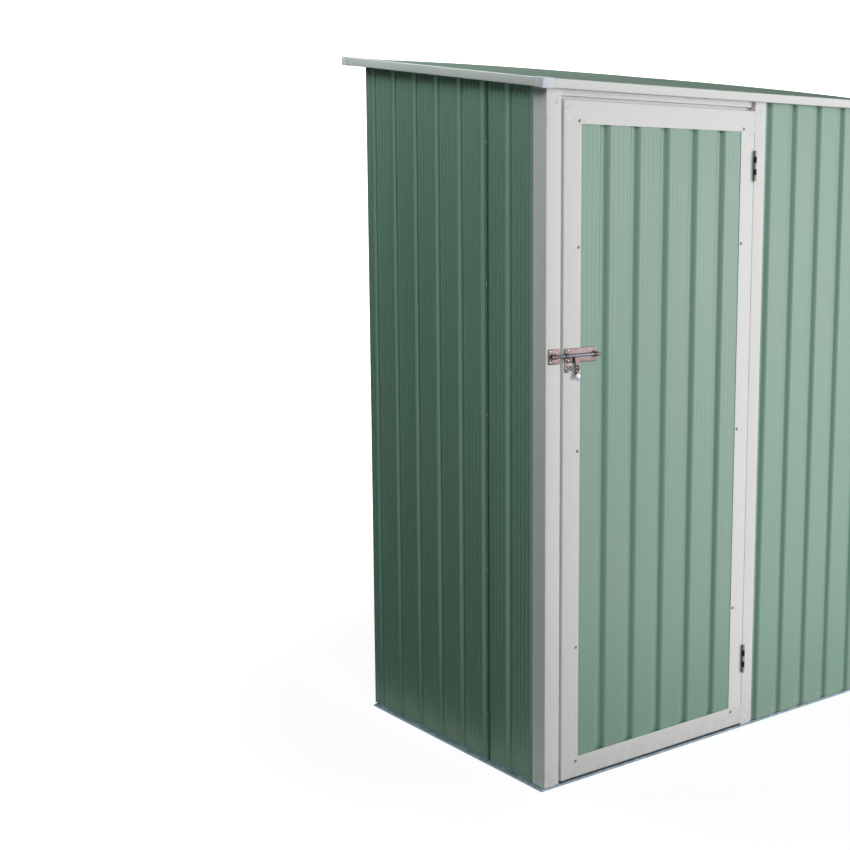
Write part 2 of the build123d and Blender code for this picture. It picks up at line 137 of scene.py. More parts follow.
def makePiece(name, points, quads, fold, body, material, nodes=(), sharp=32.0):
    # the quads are turned over where the volume they enclose comes out negative
    quads = quads if signedVolume(points, quads) > 0 else quads[:, ::-1]
    finishPiece(name, points, quads.tolist(), fold, body, material, nodes, sharp)


def shellOf(outer, inner, fold):
    # a thin closed skin: an outer grid, an inner grid and the four rims between them
    rows, columns = outer.shape[:2]
    points = np.vstack([outer.reshape(-1, 3), inner.reshape(-1, 3)])
    half = rows * columns
    out = gridFaces(rows, columns)
    ids = np.arange(half).reshape(rows, columns)
    rims = []
    for edge, flip in ((ids[0], False), (ids[-1], True), (ids[:, 0], True), (ids[:, -1], False)):
        quad = np.stack([edge[:-1], edge[:-1] + half, edge[1:] + half, edge[1:]], -1)
        rims.append(quad[:, ::-1] if flip else quad)
    quads = np.vstack([out, out[:, ::-1] + half] + rims)
    return points, quads, np.concatenate([fold.ravel(), fold.ravel()])


def merged(shapes):
    # several closed shapes as one, each turned so that its own volume is positive
    points, quads, folds, base = [], [], [], 0
    for shape in shapes:
        volume = signedVolume(shape[0], shape[1])
        points.append(shape[0])
        quads.append((shape[1] if volume > 0 else shape[1][:, ::-1]) + base)
        folds.append(shape[2])
        base += len(shape[0])
    return np.vstack(points), np.vstack(quads), np.concatenate(folds)


def roofLevel(y, level):
    # height of a plane that lies at a level square to the roof's underside
    return shed["frontHeight"] + (y - shed["frontY"]) * math.tan(tilt) + level / math.cos(tilt)


def onRoof(x, y, z):
    # the roof is worked out flat, then tipped back about its front edge
    return np.stack([x, shed["frontY"] + y * math.cos(tilt) - z * math.sin(tilt),
                     shed["frontHeight"] + y * math.sin(tilt) + z * math.cos(tilt)], -1)


# roll-formed sheets: one profile for walls, door and roof
sheet = dict(
    thickness=0.6, depth=10.0, pitch=100.0, grooveWidth=27.0, grooveBottom=13.0, grooveClear=2.0,
    fluteCount=4, flutePitch=15.5, fluteWidth=5.0, fluteDepth=1.5,
    shoulderRadius=6.0, bendRadius=2.5, fluteRadius=1.15, waveHeight=0.1, waveLength=310.0, waveRun=1700.0,
    waveAcross=430.0,
)


def ribbedLine(width, firstGroove, fluteDepth):
    # across the sheet: straight flats at depth 0, sunk trapezoid grooves every pitch, small V flutes between them.
    # A groove or a flute that would run off the sheet's edge is left out
    floor = sheet["depth"] - sheet["thickness"]
    grooves = firstGroove + sheet["pitch"] * np.arange(-1, math.ceil(width / sheet["pitch"]) + 1)
    wide, low = sheet["grooveWidth"] / 2, sheet["grooveBottom"] / 2
    bends = grooves[:, None, None] + np.array([[[-wide], [-low], [low], [wide]]])
    bends = np.concatenate([bends, np.broadcast_to(np.array([0, floor, floor, 0])[None, :, None], bends.shape)], 2)
    centres = grooves[:, None] + sheet["pitch"] / 2
    centres = (centres + (np.arange(sheet["fluteCount"]) - (sheet["fluteCount"] - 1) / 2) * sheet["flutePitch"]).ravel()
    half = sheet["fluteWidth"] / 2
    flutes = centres[:, None, None] + np.array([[[-half], [0.0], [half]]])
    flutes = np.concatenate([flutes, np.broadcast_to(np.array([0, fluteDepth, 0])[None, :, None], flutes.shape)], 2)

    def kept(shapes):
        inside = (shapes[:, 0, 0] > sheet["grooveClear"]) & (shapes[:, -1, 0] < width - sheet["grooveClear"])
        return shapes[inside].reshape(-1, 2)

    grooveCorners, fluteCorners = kept(bends), kept(flutes)
    corners = np.vstack([grooveCorners, fluteCorners])
    bend, shoulder = sheet["bendRadius"], sheet["shoulderRadius"]
    grooveRadii = np.tile([shoulder, bend, bend, shoulder], len(grooveCorners) // 4)
    radii = np.concatenate([grooveRadii, np.full(len(fluteCorners), sheet["fluteRadius"])])
    order = np.argsort(corners[:, 0], kind="stable")
    corners = np.vstack([[[0, 0]], corners[order], [[width, 0]]])
    return roundedLine(corners, radii[order])


def ribbedSheet(name, width, firstGroove, place, body, material,
                rows=14, seed=0.0, fluteDepth=sheet["fluteDepth"], lift=0.0):
    # the profile is carried from the foot (t = 0) to the head (t = 1); place(u, v, t) puts it in the shed.
    # A long, low wave, height * sin(2 pi (up + across)) * sin(pi t), is the slight unevenness of real rolled sheet.
    # The far edge lifts by lift * (how far into the lap's reach)^2
    line, fold = ribbedLine(width, firstGroove, fluteDepth)
    line[:, 1] -= lift * np.clip((line[:, 0] - width + walls["lapReach"]) / walls["lapReach"], 0, 1) ** 2
    inner = offsetLine(line, sheet["thickness"])
    t = np.linspace(0, 1, rows)[:, None]
    phase = t * sheet["waveRun"] / sheet["waveLength"] + line[None, :, 0] / sheet["waveAcross"] + seed
    wave = sheet["waveHeight"] * np.sin(2 * np.pi * phase) * np.sin(np.pi * t)
    foldGrid = np.maximum(fold[None, :] * np.ones_like(t), np.where((t == 0) | (t == 1), 1.0, 0.0))
    outerGrid = place(line[None, :, 0] + 0 * t, line[None, :, 1] + wave, t)
    innerGrid = place(inner[None, :, 0] + 0 * t, inner[None, :, 1] + wave, t)
    points, quads, folds = shellOf(outerGrid, innerGrid, foldGrid)
    makePiece(name, points, quads, folds, body, material, [name])


def wallPlace(corner, across, inward, foot, head):
    # section (u, v) goes to corner + u*across + v*inward, and t climbs from the foot to the head's plane
    corner, across, inward = (np.asarray(v, float) for v in (corner, across, inward))

    def place(u, v, t):
        x = corner[0] + u * across[0] + v * inward[0]
        y = corner[1] + u * across[1] + v * inward[1]
        top = head(y)
        return np.stack([x, y, foot + t * (top - foot) + 0 * x], -1)

    return place


def spanOf(node):
    # a node's two box corners, in millimetres
    low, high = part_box(node)
    return np.array(low) / mm, np.array(high) / mm


# node helpers for the finishes
def toLinear(red, green, blue):
    # a screen colour as linear light: c / 12.92 when dark, otherwise ((c + 0.055) / 1.055)^2.4
    c = np.array([red, green, blue]) / 255
    return (*np.where(c <= 0.04045, c / 12.92, ((c + 0.055) / 1.055) ** 2.4), 1.0)


def feed(tree, value, socket):
    # a number or a colour is set on the socket; an output, or a node's first output, is linked to it
    if isinstance(value, (int, float, tuple)):
        socket.default_value = value
    else:
        tree.links.new(value.outputs[0] if isinstance(value, bpy.types.Node) else value, socket)


def addNode(tree, kind, inputs=None, **settings):
    # a node with its settings and inputs; the nodes stand in a row in the order they are made
    node = tree.nodes.new(kind)
    node.location = (200 * len(tree.nodes), 0)
    for key, value in settings.items():
        setattr(node, key, value)
    for socket, value in (inputs or {}).items():
        feed(tree, value, node.inputs[socket])
    return node


def mathNode(tree, operation, first, second, clamp=False):
    # one operation on two values, each a number or another node's output
    return addNode(tree, "ShaderNodeMath", {0: first, 1: second}, operation=operation, use_clamp=clamp)


def remap(tree, value, low, high, toLow=0.0, toHigh=1.0):
    # low to high becomes toLow to toHigh in a straight line, held at both ends
    ends = {"From Min": low, "From Max": high, "To Min": toLow, "To Max": toHigh}
    return addNode(tree, "ShaderNodeMapRange", {"Value": value, **ends})


def noiseNode(tree, coordinates, scale, detail, roughness=0.5, stretch=None):
    # fractal noise, drawn out along an axis where stretch is under 1
    if stretch:
        coordinates = addNode(tree, "ShaderNodeMapping", {"Vector": coordinates, "Scale": stretch})
    settings = {"Vector": coordinates, "Scale": scale, "Detail": detail, "Roughness": roughness}
    return addNode(tree, "ShaderNodeTexNoise", settings)


def mixColour(tree, factor, first, second):
    # first * (1 - factor) + second * factor; the colour inputs are sockets 6 and 7, the colour output is 2
    return addNode(tree, "ShaderNodeMix", {0: factor, 6: first, 7: second}, data_type="RGBA").outputs[2]


def twoTone(tree, factor, look):
    # the finish's dark colour where the factor is 0 and its light one where it is 1
    return mixColour(tree, factor, toLinear(*look["dark"]), toLinear(*look["light"]))


def newGroup(name, inputs, *outputs):
    # a node group with number inputs and number outputs; gives its tree, its inputs and the place on the piece
    tree = groups[name] = bpy.data.node_groups.new(name, "ShaderNodeTree")
    for label, value in inputs.items():
        tree.interface.new_socket(label, in_out="INPUT", socket_type="NodeSocketFloat").default_value = value
    for label in outputs:
        tree.interface.new_socket(label, in_out="OUTPUT", socket_type="NodeSocketFloat")
    return tree, addNode(tree, "NodeGroupInput").outputs, addNode(tree, "ShaderNodeTexCoord").outputs["Object"]


def useGroup(tree, name, **values):
    # places a group in a material with its own values
    return addNode(tree, "ShaderNodeGroup", values, node_tree=groups[name]).outputs


def buildGroups():
    # the effects that several finishes share. Paint film: a fine orange-peel height, and a slow change of shade
    tree, given, where = newGroup("paintFilm", dict(peelScale=900.0, shadeScale=3.0), "height", "shade")
    peel = noiseNode(tree, where, given["peelScale"], 2.0)
    slow = noiseNode(tree, where, given["shadeScale"], 3.0, 0.55, (1.0, 1.0, 0.35))
    addNode(tree, "NodeGroupOutput", {"height": peel, "shade": slow})

    # wear on folds and cut edges: the piece's own fold value broken up by noise
    tree, given, where = newGroup("foldWear", dict(amount=0.5, patchScale=60.0), "mask")
    fold = addNode(tree, "ShaderNodeAttribute", attribute_name="fold").outputs["Fac"]
    patch = noiseNode(tree, where, given["patchScale"], 6.0, 0.65)
    broken = mathNode(tree, "ADD", mathNode(tree, "MULTIPLY", fold, 0.5), mathNode(tree, "SUBTRACT", patch, 0.5))
    edge = remap(tree, broken, 0.42, 0.62)
    addNode(tree, "NodeGroupOutput", {"mask": mathNode(tree, "MULTIPLY", edge, given["amount"], clamp=True)})

    # dust that settles near the ground and thins upwards: (1 - height / top)^1.6, in clouds
    tree, given, where = newGroup("groundDust", dict(top=0.12, amount=0.4), "mask")
    split = addNode(tree, "ShaderNodeSeparateXYZ", {0: where})
    height = mathNode(tree, "DIVIDE", split.outputs["Z"], given["top"])
    fade = mathNode(tree, "POWER", mathNode(tree, "SUBTRACT", 1.0, height, clamp=True), 1.6)
    cloud = remap(tree, noiseNode(tree, where, 38.0, 5.0, 0.6), 0.35, 0.7)
    settled = mathNode(tree, "MULTIPLY", fade, cloud)
    addNode(tree, "NodeGroupOutput", {"mask": mathNode(tree, "MULTIPLY", settled, given["amount"], clamp=True)})

    # zinc flowers: cells of slightly different grey
    tree, given, where = newGroup("zincFlowers", dict(scale=90.0), "shade")
    cells = addNode(tree, "ShaderNodeTexVoronoi", {"Vector": where, "Scale": given["scale"]}, feature="F1")
    grey = addNode(tree, "ShaderNodeSeparateColor", {0: cells.outputs["Color"]})
    addNode(tree, "NodeGroupOutput", {"shade": grey})

    # fine draw lines and rubbing along the length of bright metal
    tree, given, where = newGroup("drawLines", dict(scale=400.0), "mask")
    lines = noiseNode(tree, where, given["scale"], 4.0, 0.7, (0.05, 1.0, 1.0))
    addNode(tree, "NodeGroupOutput", {"mask": remap(tree, lines, 0.3, 0.75)})


def emptyTree(owner):
    # the node tree of a material or a world, with nothing in it
    owner.use_nodes = True
    owner.node_tree.nodes.clear()
    return owner.node_tree


def newMaterial(name):
    # a material and its empty tree
    material = bpy.data.materials.new(name)
    return material, emptyTree(material)


def addShader(tree, colour, roughness, inputs=None):
    # the material's one Principled shader and its output
    feeds = {"Base Color": colour, "Roughness": roughness, **(inputs or {})}
    addNode(tree, "ShaderNodeOutputMaterial", {"Surface": addNode(tree, "ShaderNodeBsdfPrincipled", feeds)})


def bumpOf(tree, height, strength, distance):
    # the height map as a tilted normal
    return addNode(tree, "ShaderNodeBump", {"Height": height, "Strength": strength, "Distance": distance})


def glossRange(look):
    # the finish's roughness at its glossiest and at its dullest
    smoother, duller = look["glossSpread"]
    return look["roughness"] - smoother, look["roughness"] + duller


def coatedSteel(name, look):
    # base colour = paint with a slow drift of shade, worn lighter on folds, greyed by dust near the ground
    material, tree = newMaterial(name)
    film = useGroup(tree, "paintFilm", peelScale=look["peelScale"], shadeScale=look["shadeScale"])
    wear = useGroup(tree, "foldWear", amount=look["wear"], patchScale=look["wearScale"])["mask"]
    dust = useGroup(tree, "groundDust", top=look["dustTop"], amount=look["dust"])["mask"]
    paint = twoTone(tree, remap(tree, film["shade"], *noiseSpan), look)
    worn = mixColour(tree, wear, paint, toLinear(*look["wornColour"]))
    dusty = mixColour(tree, dust, worn, toLinear(*look["dustColour"]))
    gloss = remap(tree, film["shade"], *noiseSpan, *glossRange(look))
    rough = mathNode(tree, "ADD", gloss, mathNode(tree, "MULTIPLY", mathNode(tree, "ADD", wear, dust), look["dulling"]))
    peel = bumpOf(tree, film["height"], look["peel"], look["peelDepth"])
    addShader(tree, dusty, rough, {"Normal": peel, "Specular IOR Level": look["specular"]})
    return material


def zincSteel(name, look):
    # grey metal in cells of two shades, duller and browner where dust reaches near the ground
    material, tree = newMaterial(name)
    shade = useGroup(tree, "zincFlowers", scale=look["cellScale"])["shade"]
    dust = useGroup(tree, "groundDust", top=look["dustTop"], amount=look["dust"])["mask"]
    film = useGroup(tree, "paintFilm", peelScale=look["grainScale"])
    dusty = mixColour(tree, dust, twoTone(tree, shade, look), toLinear(*look["dustColour"]))
    gloss = remap(tree, shade, 0, 1, *glossRange(look))
    rough = mathNode(tree, "ADD", gloss, mathNode(tree, "MULTIPLY", dust, look["dulling"]))
    grain = bumpOf(tree, film["height"], look["grain"], look["grainDepth"])
    addShader(tree, dusty, rough, {"Normal": grain, "Metallic": look["metallic"]})
    return material


def brightSteel(name, look):
    # plated metal: draw lines change the gloss, folds are rubbed brighter
    material, tree = newMaterial(name)
    lines = useGroup(tree, "drawLines", scale=look["lineScale"])["mask"]
    wear = useGroup(tree, "foldWear", amount=look["wear"], patchScale=look["wearScale"])["mask"]
    film = useGroup(tree, "paintFilm", peelScale=look["grainScale"], shadeScale=look["shadeScale"])
    metal = mixColour(tree, wear, twoTone(tree, film["shade"], look), toLinear(*look["rubbed"]))
    gloss = remap(tree, lines, 0, 1, *glossRange(look))
    grain = bumpOf(tree, film["height"], look["grain"], look["grainDepth"])
    addShader(tree, metal, gloss, {"Normal": grain, "Metallic": 1.0})
    return material


def mouldedPlastic(name, look):
    # moulded plastic: fine pitted grain, and edges that have scuffed paler
    material, tree = newMaterial(name)
    film = useGroup(tree, "paintFilm", peelScale=look["grainScale"], shadeScale=look["shadeScale"])
    wear = useGroup(tree, "foldWear", amount=look["wear"], patchScale=look["wearScale"])["mask"]
    plastic = mixColour(tree, wear, twoTone(tree, film["shade"], look), toLinear(*look["wornColour"]))
    gloss = remap(tree, film["height"], *noiseSpan, *glossRange(look))
    addShader(tree, plastic, gloss, {"Normal": bumpOf(tree, film["height"], look["grain"], look["grainDepth"])})
    return material


groups = {}
buildGroups()
noiseSpan = (0.3, 0.7)  # where nearly all of a noise's values lie
coat = dict(peel=0.10, peelScale=700.0, peelDepth=0.0004, glossSpread=(0.03, 0.03), dulling=0.3)
greenLook = dict(
    coat, dark=(105, 143, 123), light=(112, 151, 131), roughness=0.50, specular=0.8, shadeScale=2.2,
    wear=0.20, wearScale=45.0, wornColour=(128, 160, 142), dust=0.45, dustTop=0.10, dustColour=(150, 148, 138),
)
# the roof is seen almost along its own plane, where a gloss would turn it white; so its gloss is off, and its green is
# painted paler and greyer than the walls' green as a painted sheen
roofPaintedSheenLook = dict(greenLook, dark=(139, 156, 144), light=(148, 164, 152), specular=0.0, roughness=0.7)
whiteLook = dict(
    coat, dark=(230, 229, 228), light=(238, 237, 236), roughness=0.50, specular=0.75, shadeScale=3.0,
    wear=0.35, wearScale=60.0, wornColour=(186, 184, 178), dust=0.35, dustTop=0.09, dustColour=(168, 163, 150),
)
zinc = dict(
    dustTop=0.03, dustColour=(140, 136, 128), grain=0.25, grainDepth=0.0003, glossSpread=(0.07, 0.07), dulling=0.25,
)
baseLook = dict(
    zinc, dark=(118, 138, 152), light=(150, 168, 182), metallic=0.55, roughness=0.42, cellScale=70.0,
    grainScale=900.0, dust=0.35,
)
innerLook = dict(
    zinc, dark=(160, 164, 166), light=(188, 191, 192), metallic=0.75, roughness=0.40, cellScale=60.0,
    grainScale=900.0, dust=0.2,
)
hingeLook = dict(
    zinc, dark=(150, 141, 140), light=(176, 168, 166), metallic=0.25, roughness=0.48, cellScale=500.0,
    grainScale=2500.0, dust=0.0,
)
sheetScrewLook = dict(hingeLook, dark=(168, 176, 172), light=(196, 202, 198), metallic=0.2, roughness=0.45)
plated = dict(
    lineScale=900.0, grainScale=1800.0, grain=0.15, grainDepth=0.0002, shadeScale=40.0, wearScale=220.0,
    glossSpread=(0.06, 0.1),
)
# the latch's plates and tongue, and the bolt bar below: their plating is painted dark pinkish brown and dark bluish, a
# painted reflection of dark surroundings; the rubbed colours are wear
latchReflectionLook = dict(plated, dark=(72, 62, 61), light=(84, 73, 72), rubbed=(126, 116, 116), wear=0.25, roughness=0.30)
barReflectionLook = dict(plated, dark=(74, 77, 82), light=(92, 96, 102), rubbed=(140, 144, 150), wear=0.4, roughness=0.20)
knobLook = dict(plated, dark=(150, 151, 164), light=(176, 177, 190), rubbed=(200, 200, 210), wear=0.3, roughness=0.14)
# the door's hinge leaves: near black, a painted shade for the gaps between the knuckles; the rubbed colour is wear
knuckleShadeLook = dict(plated, dark=(30, 26, 30), light=(46, 40, 44), rubbed=(80, 74, 76), wear=0.6, roughness=0.34)
screwPlate = dict(plated, lineScale=1500.0, grainScale=2500.0)
screwLook = dict(screwPlate, dark=(84, 78, 80), light=(112, 106, 108), rubbed=(160, 154, 154), wear=0.7, roughness=0.26)
latchScrewLook = dict(
    screwPlate, dark=(140, 135, 136), light=(176, 171, 172), rubbed=(214, 210, 210), wear=0.5, roughness=0.22,
)
capLook = dict(
    dark=(240, 241, 252), light=(246, 247, 255), wornColour=(196, 198, 208), roughness=0.42, glossSpread=(0.05, 0.08),
    wear=0.4, wearScale=150.0, shadeScale=20.0, grain=0.35, grainDepth=0.0003, grainScale=1400.0,
)
green = coatedSteel("greenCoat", greenLook)
sideGreen = coatedSteel("greenSideCoat", dict(greenLook, specular=0.75))
# the roof's paler green: a painted sheen in place of its gloss
roofPaintedSheenGreen = coatedSteel("greenRoofPaintedSheen", roofPaintedSheenLook)
white = coatedSteel("offWhiteCoat", whiteLook)
baseZinc = zincSteel("baseZinc", baseLook)
innerZinc = zincSteel("frameZinc", innerLook)
hingeZinc = zincSteel("hingeZinc", hingeLook)
sheetScrewSteel = zincSteel("sheetScrew", sheetScrewLook)
# dark plating colours of latch and bolt bar: painted reflection
latchPaintedReflectionSteel = brightSteel("latchPlatePaintedReflection", latchReflectionLook)
barPaintedReflectionSteel = brightSteel("boltBarPaintedReflection", barReflectionLook)
knobSteel = brightSteel("latchKnob", knobLook)
latchScrewSteel = brightSteel("latchScrew", latchScrewLook)
# near black, as painted shade on the door's hinge leaves
knucklePaintedShadeSteel = brightSteel("hingeKnucklePaintedShade", knuckleShadeLook)
screwSteel = brightSteel("screwHead", screwLook)
capPlastic = mouldedPlastic("capPlastic", capLook)
print("materials ready")

# every CAD piece gets the finish of its slot; the hinge leaves on the door are painted near black, a painted shade for
# the dark gaps and shaded sides between the knuckles
finishOf = {"white_frame": white, "green_sheet": green, "white_cap": capPlastic, "galvanised_rail": baseZinc,
            "galvanised_frame": innerZinc, "hinge_steel": hingeZinc, "bolt_steel": latchPaintedReflectionSteel}
for entry in frame["record"]["subparts"]:
    node = frame["nodes"][entry["node"]]
    node.data.materials.clear()
    node.data.materials.append(knucklePaintedShadeSteel if "hinge_door_leaf" in entry["node"] else finishOf[entry["material_slot"]])


# walls, door panel and roof: where each sheet's first groove lies, and how far its head stands off the roof
walls = dict(sideFirst=36.0, backFirst=41.0, roofFirst=107.5, underFirst=16.0, doorFirst=29.0, frontFirst=34.0,
             headLevel=10.9, frontHeadLevel=0.9, sheetTop=22.1, nested=0.9, roofEdge=2.3, roofBow=13.0, roofTop=1856.4,
             frontFlute=0.3, lapLift=3.0, lapReach=9.0, sideSeed=0.3, frontSeed=0.2, doorSeed=0.6)

# the roof's edge trims and corner caps
trim = dict(face=22.0, topLip=12.0, bottomLip=22.0, wall=1.2, halfWidth=713.8, seat=0.3,
            capLength=32.0, capSide=26.0, capTop=25.9, capRim=12.0, capRadius=2.0,
            capOuterFold=1.5, capInnerFold=0.6, capWear=0.8)


def buildWalls():
    # every sheet fills its CAD node's box: the width runs from end to end of it, with the flats on its outer side
    slopeHead = lambda y: roofLevel(y, walls["headLevel"])
    frontHead = lambda y: roofLevel(y, walls["frontHeadLevel"])
    foot = shed["wallFoot"]
    for side, sign in (("left", 1), ("right", -1)):
        for part, first in (("rear", walls["sideFirst"]), ("front", walls["underFirst"])):
            name = f"{side}_wall_sheet_{part}"
            low, high = spanOf(name)
            corner = (low[0] if sign > 0 else high[0], high[1])
            place = wallPlace(corner, (0, -1), (sign, 0), foot, slopeHead)
            ribbedSheet(name, high[1] - low[1], first, place, "shed", sideGreen,
                        seed=sign * walls["sideSeed"], lift=walls["lapLift"] if part == "rear" else 0.0)
    for part, first in (("right", walls["backFirst"]), ("left", walls["underFirst"])):
        name = f"back_wall_sheet_{part}"
        low, high = spanOf(name)
        place = wallPlace((high[0], high[1]), (-1, 0), (0, -1), foot, slopeHead)
        ribbedSheet(name, high[0] - low[0], first, place, "shed", sideGreen)
    low, high = spanOf("front_wall_sheet")
    place = wallPlace((low[0], low[1]), (1, 0), (0, 1), foot, frontHead)
    ribbedSheet("front_wall_sheet", high[0] - low[0], walls["frontFirst"], place, "shed", green,
                seed=walls["frontSeed"], fluteDepth=walls["frontFlute"])
    low, high = spanOf("door_panel")
    place = wallPlace((low[0], low[1]), (1, 0), (0, 1), low[2], lambda y: high[2])
    ribbedSheet("door_panel", high[0] - low[0], walls["doorFirst"], place, "door", green,
                seed=walls["doorSeed"], fluteDepth=walls["frontFlute"])
    for part, first, drop in (("left", walls["roofFirst"], 0.0), ("right", walls["underFirst"], walls["nested"])):
        name = f"roof_sheet_{part}"
        low, high = spanOf(name)

        def place(u, v, t, start=low[0], level=walls["sheetTop"] - drop):
            # the sheets bow up between their held edges: bow * (1 - |2t-1|^3) * (1 - |x/half|^4),
            # and are kept under the height of the rear trim
            x = start + u
            run = walls["roofEdge"] + t * (shed["roofLength"] - 2 * walls["roofEdge"]) + 0 * u
            bow = walls["roofBow"] * (1 - abs(2 * t - 1) ** 3) * (1 - np.clip(abs(x) / trim["halfWidth"], 0, 1) ** 4)
            points = onRoof(x, run, level - v + bow)
            points[..., 2] -= np.maximum(onRoof(x, run, level + bow)[..., 2] - walls["roofTop"], 0) * (bow > 0.01)
            return points

        # the roof sheets take the paler green of the painted sheen
        ribbedSheet(name, high[0] - low[0], first, place, "shed", roofPaintedSheenGreen, rows=28)
    print("sheets ready")


buildWalls()


# folded frame members: posts, jamb, header and door stiles
strip = dict(thickness=0.8, outerRadius=2.0, innerRadius=1.0, endFold=0.8)


def foldedStrip(path):
    # a path with rounded folds, and the same path moved left by the sheet's thickness.
    # A left turn keeps the path on the outside of the bend, so it takes the larger radius
    path = np.asarray(path, float)
    before, after = path[1:-1] - path[:-2], path[2:] - path[1:-1]
    turn = before[:, 0] * after[:, 1] - before[:, 1] * after[:, 0]
    line, fold = roundedLine(path, np.where(turn > 0, strip["outerRadius"], strip["innerRadius"]), 5)
    return line, offsetLine(line, strip["thickness"]), fold


def stripShape(path, place, rows=6):
    # the strip's section is carried along the member; place(u, v, t) puts it in the shed
    line, inner, fold = foldedStrip(path)
    t = np.linspace(0, 1, rows)[:, None]
    foldGrid = np.maximum(fold[None, :] + 0 * t, np.where((t == 0) | (t == 1), strip["endFold"], 0.0))
    return shellOf(place(line[None, :, 0] + 0 * t, line[None, :, 1] + 0 * t, t),
                   place(inner[None, :, 0] + 0 * t, inner[None, :, 1] + 0 * t, t), foldGrid)


def uprightPlace(foot, head):
    # the section lies in plan, (u, v) = (x, y), and t climbs from the foot to the head, which may depend on y
    def place(u, v, t):
        top = head(v) if callable(head) else head
        return np.stack([u, v, foot + t * (top - foot) + 0 * u], -1)

    return place


def alongX(start, end):
    # the section stands upright, (u, v) = (y, z), and t runs across the front
    def place(u, v, t):
        return np.stack([start + t * (end - start) + 0 * u, u, v], -1)

    return place


frameSizes = dict(postSide=48.0, stopWidth=20.0, rearPost=46.2, latchStile=55.0, hingeStile=49.5, topRail=54.5,
                  bottomRail=54.0, seat=0.3, headLevel=0.9)


def addStrip(name, path, place, body, rows=6):
    # a folded white strip in the place of its CAD node
    points, quads, folds = stripShape(path, place, rows)
    makePiece(name, points, quads, folds, body, white, [name])


def buildFrame():
    # each path is the strip's outer line, drawn so that the thickness lies on its left
    s, f = shed, frameSizes
    stop, jamb, left, right = s["stopFront"], s["jambLeft"], s["doorLeft"], s["doorRight"]
    stile, face, back = s["stileFront"], s["front"], s["doorBack"]
    frontY, leftX, postX, side = s["frameFront"], s["frameLeft"], s["postRight"], f["postSide"]
    upright = uprightPlace(s["wallFoot"], lambda y: roofLevel(y, f["headLevel"]))
    addStrip("corner_post_front_left", [
        (leftX, frontY + side), (leftX, frontY), (postX, frontY), (postX, stop), (postX + f["stopWidth"], stop)],
        upright, "shed")
    addStrip("corner_post_front_right", [
        (-leftX - f["rearPost"], frontY), (-leftX, frontY), (-leftX, frontY + side)], upright, "shed")
    addStrip("door_jamb", [(jamb, stop), (jamb, frontY), (s["jambRight"], frontY)], upright, "shed")
    tallHead, foot = roofLevel(s["headerFront"], f["headLevel"]), s["headerBottom"]
    addStrip("door_header", [
        (s["headerFace"], tallHead), (s["headerFace"], foot), (s["headerStop"], foot),
        (s["headerStop"], foot - f["stopWidth"])], alongX(postX + f["seat"], jamb - f["seat"]), "shed")
    inset = strip["thickness"] + f["seat"]
    doorHeight = uprightPlace(s["doorBottom"] + inset, s["doorTop"] - inset)
    addStrip("door_latch_stile", [(left, back), (left, stile), (left + f["latchStile"], stile)], doorHeight, "door")
    addStrip("door_hinge_stile", [(right - f["hingeStile"], stile), (right, stile), (right, back)], doorHeight, "door")
    doorRun = alongX(left, right)
    top, bottom = s["doorTop"], s["doorBottom"]
    addStrip("door_top_rail", [(back, top), (face, top), (face, top - f["topRail"])], doorRun, "door")
    addStrip("door_bottom_rail", [(face, bottom + f["bottomRail"]), (face, bottom), (back, bottom)], doorRun, "door")
    print("frame ready")


buildFrame()


def buildTrims():
    # a C section with its lips turned inwards, along the four edges of the roof
    top, wall, half, length = trim["wall"] + trim["face"], trim["wall"], trim["halfWidth"], shed["roofLength"]
    path = [(trim["topLip"], top), (0, top), (0, wall), (trim["bottomLip"], wall)]
    start = wall + trim["bottomLip"] + trim["seat"]
    places = {
        "front": lambda u, v, t: onRoof(-half + 2 * half * t + 0 * u, wall + u, v),
        "back": lambda u, v, t: onRoof(half - 2 * half * t + 0 * u, length - wall - u, v),
        "left": lambda u, v, t: onRoof(-half + u, start + t * (length - 2 * start) + 0 * u, v),
        "right": lambda u, v, t: onRoof(half - u, start + t * (length - 2 * start) + 0 * u, v),
    }
    for side, place in places.items():
        addStrip(f"roof_trim_{side}", path, place, "shed", 8)


def capShape(flipX, flipY):
    # a rounded C section (top plate, outer wall, rim below) carried round the roof's corner:
    # point = path(s) + w * inward(s), with w the distance in from the outer wall
    height, wall, r = trim["face"] + 2 * trim["wall"], trim["wall"], trim["capRadius"]
    wide, long, side, rim = trim["capTop"], trim["capLength"], trim["capSide"], trim["capRim"]
    line, fold = roundedLine([(rim, 0), (0, 0), (0, height), (wide, height)], trim["capOuterFold"], 5)
    inner, _ = roundedLine([(rim, wall), (wall, wall), (wall, height - wall), (wide, height - wall)],
                           trim["capInnerFold"], 5)
    turn = np.linspace(0, 1, 5)
    arc = np.stack([r * (1 - turn) ** 2, r * turn ** 2], 1)
    path = np.vstack([[[long, 0]], arc, [[0, side]]])
    keep = 1 - arc / wide
    inward = np.vstack([[[0, 1]], keep, [[1, 0]]])
    bend = np.concatenate([[0.5], np.full(5, 1.0), [0.5]])

    def grid(section):
        w, z = section[:, 0], section[:, 1]
        x = path[:, 0, None] + inward[:, 0, None] * w[None]
        y = path[:, 1, None] + inward[:, 1, None] * w[None]
        x = -trim["halfWidth"] - wall + x
        return onRoof(x if not flipX else -x, y if not flipY else shed["roofLength"] - y, z[None] + 0 * x)

    return shellOf(grid(line), grid(inner), np.maximum(fold[None, :], bend[:, None]) * trim["capWear"])


def buildCaps():
    # one cap shape, mirrored to the four corners
    points, quads, folds = merged([capShape(x, y) for x in (False, True) for y in (False, True)])
    makePiece("roof_corner_caps", points, quads, folds, "shed", capPlastic, ["roof_corner_caps"])
    print("trims and caps ready")


buildTrims()
buildCaps()


# screws: domed heads with a cross recess
screw = dict(radius=4.0, height=2.1, edge=0.35, sunk=0.4, dome=2.6, recess=0.9, slotWidth=0.75, slotReach=2.2, turn=2.4)


